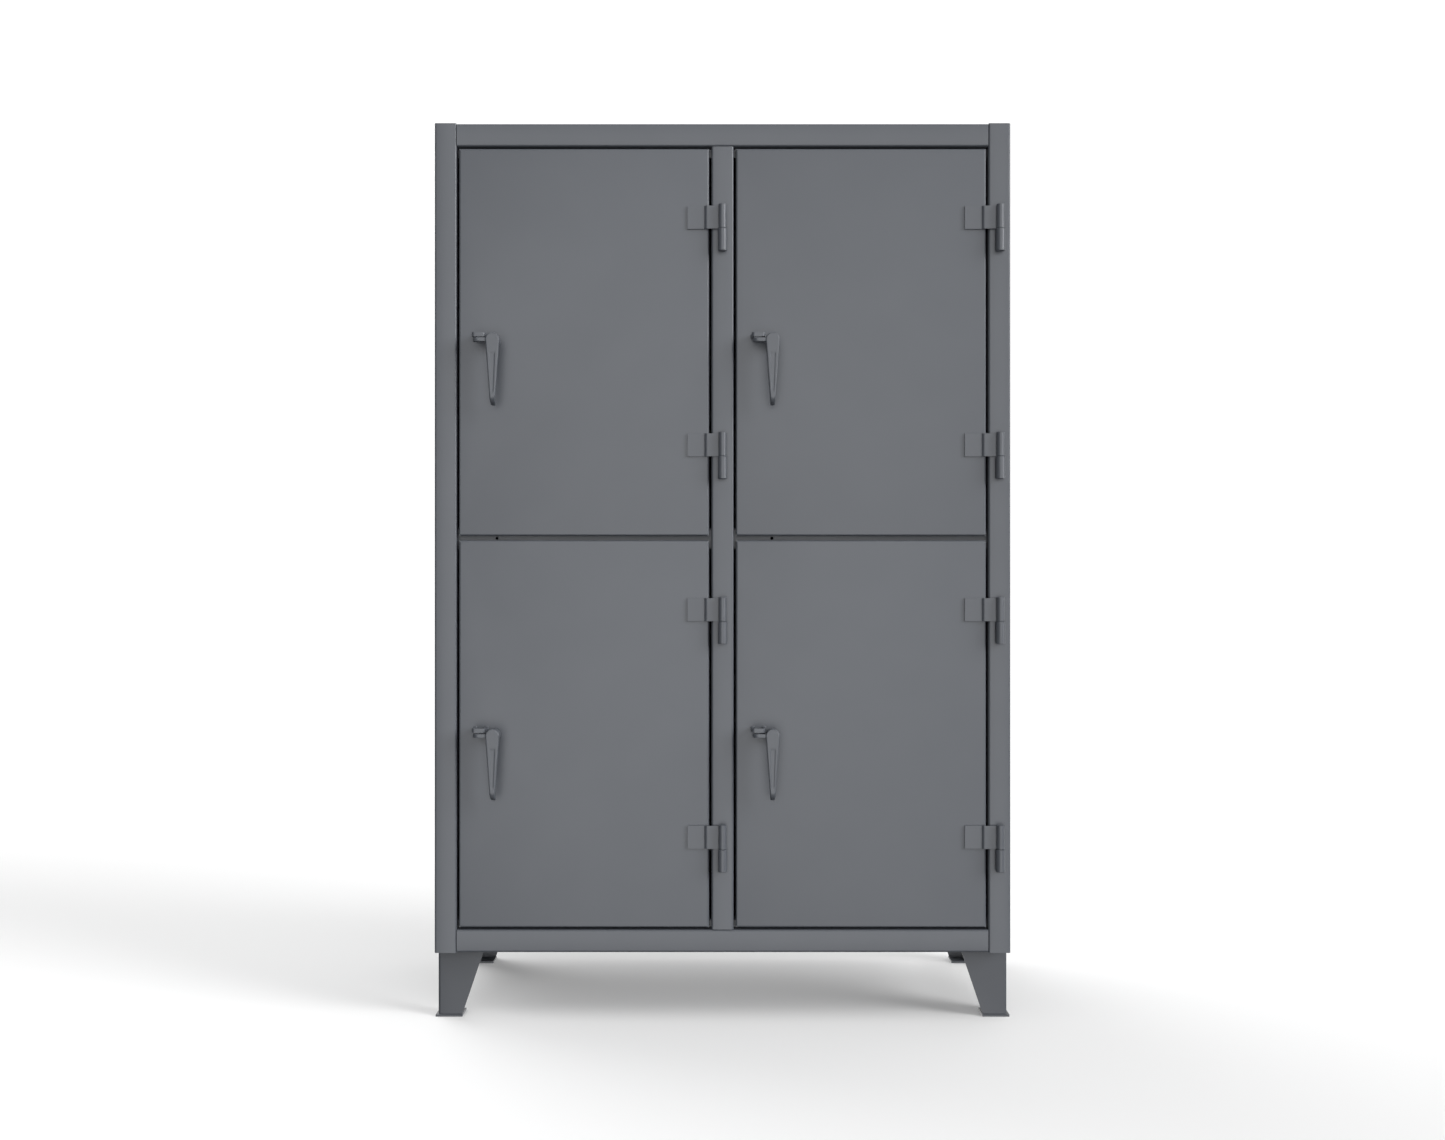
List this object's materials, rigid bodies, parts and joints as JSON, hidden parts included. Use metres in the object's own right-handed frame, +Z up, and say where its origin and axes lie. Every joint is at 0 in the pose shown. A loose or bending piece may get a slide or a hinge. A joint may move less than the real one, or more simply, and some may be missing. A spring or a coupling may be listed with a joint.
{
  "type": "locker cabinet",
  "caption": "Welded sheet-steel locker cabinet on tapered angle legs, with barrel-hinged doors, drop lever handles with padlock ears and staples, and rod latches inside the doors.",
  "frame": {"origin": "on the floor, under the centre of the bounding box", "axes": "+Z up, the doors face -Y, +X to the right seen from the front"},
  "size_m": [1.28, 0.66, 1.981],
  "materials": {
    "powder_coat": "semi-gloss grey powder coat with a fine texture",
    "cast_powder_coat": "semi-gloss grey powder coat over a cast lever",
    "zinc_plate": "bright zinc plate"
  },
  "bodies": {
    "cabinet_body": {"top_panel": "powder_coat", "bottom_panel": "powder_coat", "back_panel": "powder_coat", "centre_post": "powder_coat", "centre_partition": "powder_coat", "left_side_panel": "powder_coat", "left_shelf": "powder_coat", "front_left_leg": "powder_coat", "rear_left_leg": "powder_coat", "right_side_panel": "powder_coat", "right_shelf": "powder_coat", "front_right_leg": "powder_coat", "rear_right_leg": "powder_coat", "upper_left_hinge_base_top": "powder_coat", "upper_left_hinge_base_bottom": "powder_coat", "upper_right_hinge_base_top": "powder_coat", "upper_right_hinge_base_bottom": "powder_coat", "lower_left_hinge_base_top": "powder_coat", "lower_left_hinge_base_bottom": "powder_coat", "lower_right_hinge_base_top": "powder_coat", "lower_right_hinge_base_bottom": "powder_coat"},
    "upper_left_door_unit": {"upper_left_door": "powder_coat", "upper_left_door_stiffener": "powder_coat", "upper_left_staple": "powder_coat", "upper_left_hinge_leaf_top": "powder_coat", "upper_left_hinge_leaf_bottom": "powder_coat"},
    "upper_left_handle_unit": {"upper_left_handle": "cast_powder_coat", "upper_left_latch_cam": "zinc_plate"},
    "upper_left_upper_rod_unit": {"upper_left_upper_rod": "zinc_plate"},
    "upper_left_lower_rod_unit": {"upper_left_lower_rod": "zinc_plate"},
    "upper_right_door_unit": {"upper_right_door": "powder_coat", "upper_right_door_stiffener": "powder_coat", "upper_right_staple": "powder_coat", "upper_right_hinge_leaf_top": "powder_coat", "upper_right_hinge_leaf_bottom": "powder_coat"},
    "upper_right_handle_unit": {"upper_right_handle": "cast_powder_coat", "upper_right_latch_cam": "zinc_plate"},
    "upper_right_upper_rod_unit": {"upper_right_upper_rod": "zinc_plate"},
    "upper_right_lower_rod_unit": {"upper_right_lower_rod": "zinc_plate"},
    "lower_left_door_unit": {"lower_left_door": "powder_coat", "lower_left_door_stiffener": "powder_coat", "lower_left_staple": "powder_coat", "lower_left_hinge_leaf_top": "powder_coat", "lower_left_hinge_leaf_bottom": "powder_coat"},
    "lower_left_handle_unit": {"lower_left_handle": "cast_powder_coat", "lower_left_latch_cam": "zinc_plate"},
    "lower_left_upper_rod_unit": {"lower_left_upper_rod": "zinc_plate"},
    "lower_left_lower_rod_unit": {"lower_left_lower_rod": "zinc_plate"},
    "lower_right_door_unit": {"lower_right_door": "powder_coat", "lower_right_door_stiffener": "powder_coat", "lower_right_staple": "powder_coat", "lower_right_hinge_leaf_top": "powder_coat", "lower_right_hinge_leaf_bottom": "powder_coat"},
    "lower_right_handle_unit": {"lower_right_handle": "cast_powder_coat", "lower_right_latch_cam": "zinc_plate"},
    "lower_right_upper_rod_unit": {"lower_right_upper_rod": "zinc_plate"},
    "lower_right_lower_rod_unit": {"lower_right_lower_rod": "zinc_plate"}
  },
  "joints": [
    {"name": "upper_left_door_hinge", "type": "hinge", "parent": "cabinet_body", "child": "upper_left_door_unit", "pos_m": [0, -0.293, 1.49835], "axis": [0, 0, 1], "range_deg": [0, 155]},
    {"name": "upper_left_handle_turn", "type": "hinge", "parent": "upper_left_door_unit", "child": "upper_left_handle_unit", "pos_m": [-0.501, -0.28, 1.49835], "axis": [0, -1, 0], "range_deg": [0, 90]},
    {"name": "upper_left_upper_rod_slide", "type": "slide", "parent": "upper_left_door_unit", "child": "upper_left_upper_rod_unit", "axis": [0, 0, -1], "range_m": [0, 0.024]},
    {"name": "upper_left_lower_rod_slide", "type": "slide", "parent": "upper_left_door_unit", "child": "upper_left_lower_rod_unit", "axis": [0, 0, 1], "range_m": [0, 0.024]},
    {"name": "upper_right_door_hinge", "type": "hinge", "parent": "cabinet_body", "child": "upper_right_door_unit", "pos_m": [0.6105, -0.293, 1.49835], "axis": [0, 0, 1], "range_deg": [0, 180]},
    {"name": "upper_right_handle_turn", "type": "hinge", "parent": "upper_right_door_unit", "child": "upper_right_handle_unit", "pos_m": [0.1095, -0.28, 1.49835], "axis": [0, -1, 0], "range_deg": [0, 90]},
    {"name": "upper_right_upper_rod_slide", "type": "slide", "parent": "upper_right_door_unit", "child": "upper_right_upper_rod_unit", "axis": [0, 0, -1], "range_m": [0, 0.024]},
    {"name": "upper_right_lower_rod_slide", "type": "slide", "parent": "upper_right_door_unit", "child": "upper_right_lower_rod_unit", "axis": [0, 0, 1], "range_m": [0, 0.024]},
    {"name": "lower_left_door_hinge", "type": "hinge", "parent": "cabinet_body", "child": "lower_left_door_unit", "pos_m": [0, -0.293, 0.63505], "axis": [0, 0, 1], "range_deg": [0, 155]},
    {"name": "lower_left_handle_turn", "type": "hinge", "parent": "lower_left_door_unit", "child": "lower_left_handle_unit", "pos_m": [-0.501, -0.28, 0.63505], "axis": [0, -1, 0], "range_deg": [0, 90]},
    {"name": "lower_left_upper_rod_slide", "type": "slide", "parent": "lower_left_door_unit", "child": "lower_left_upper_rod_unit", "axis": [0, 0, -1], "range_m": [0, 0.024]},
    {"name": "lower_left_lower_rod_slide", "type": "slide", "parent": "lower_left_door_unit", "child": "lower_left_lower_rod_unit", "axis": [0, 0, 1], "range_m": [0, 0.024]},
    {"name": "lower_right_door_hinge", "type": "hinge", "parent": "cabinet_body", "child": "lower_right_door_unit", "pos_m": [0.6105, -0.293, 0.63505], "axis": [0, 0, 1], "range_deg": [0, 180]},
    {"name": "lower_right_handle_turn", "type": "hinge", "parent": "lower_right_door_unit", "child": "lower_right_handle_unit", "pos_m": [0.1095, -0.28, 0.63505], "axis": [0, -1, 0], "range_deg": [0, 90]},
    {"name": "lower_right_upper_rod_slide", "type": "slide", "parent": "lower_right_door_unit", "child": "lower_right_upper_rod_unit", "axis": [0, 0, -1], "range_m": [0, 0.024]},
    {"name": "lower_right_lower_rod_slide", "type": "slide", "parent": "lower_right_door_unit", "child": "lower_right_lower_rod_unit", "axis": [0, 0, 1], "range_m": [0, 0.024]}
  ],
  "couplings": [
    {"joint": "upper_left_upper_rod_slide", "follows": "upper_left_handle_turn", "m_per_rad": 0.015279},
    {"joint": "upper_left_lower_rod_slide", "follows": "upper_left_handle_turn", "m_per_rad": 0.015279},
    {"joint": "upper_right_upper_rod_slide", "follows": "upper_right_handle_turn", "m_per_rad": 0.015279},
    {"joint": "upper_right_lower_rod_slide", "follows": "upper_right_handle_turn", "m_per_rad": 0.015279},
    {"joint": "lower_left_upper_rod_slide", "follows": "lower_left_handle_turn", "m_per_rad": 0.015279},
    {"joint": "lower_left_lower_rod_slide", "follows": "lower_left_handle_turn", "m_per_rad": 0.015279},
    {"joint": "lower_right_upper_rod_slide", "follows": "lower_right_handle_turn", "m_per_rad": 0.015279},
    {"joint": "lower_right_lower_rod_slide", "follows": "lower_right_handle_turn", "m_per_rad": 0.015279}
  ]
}
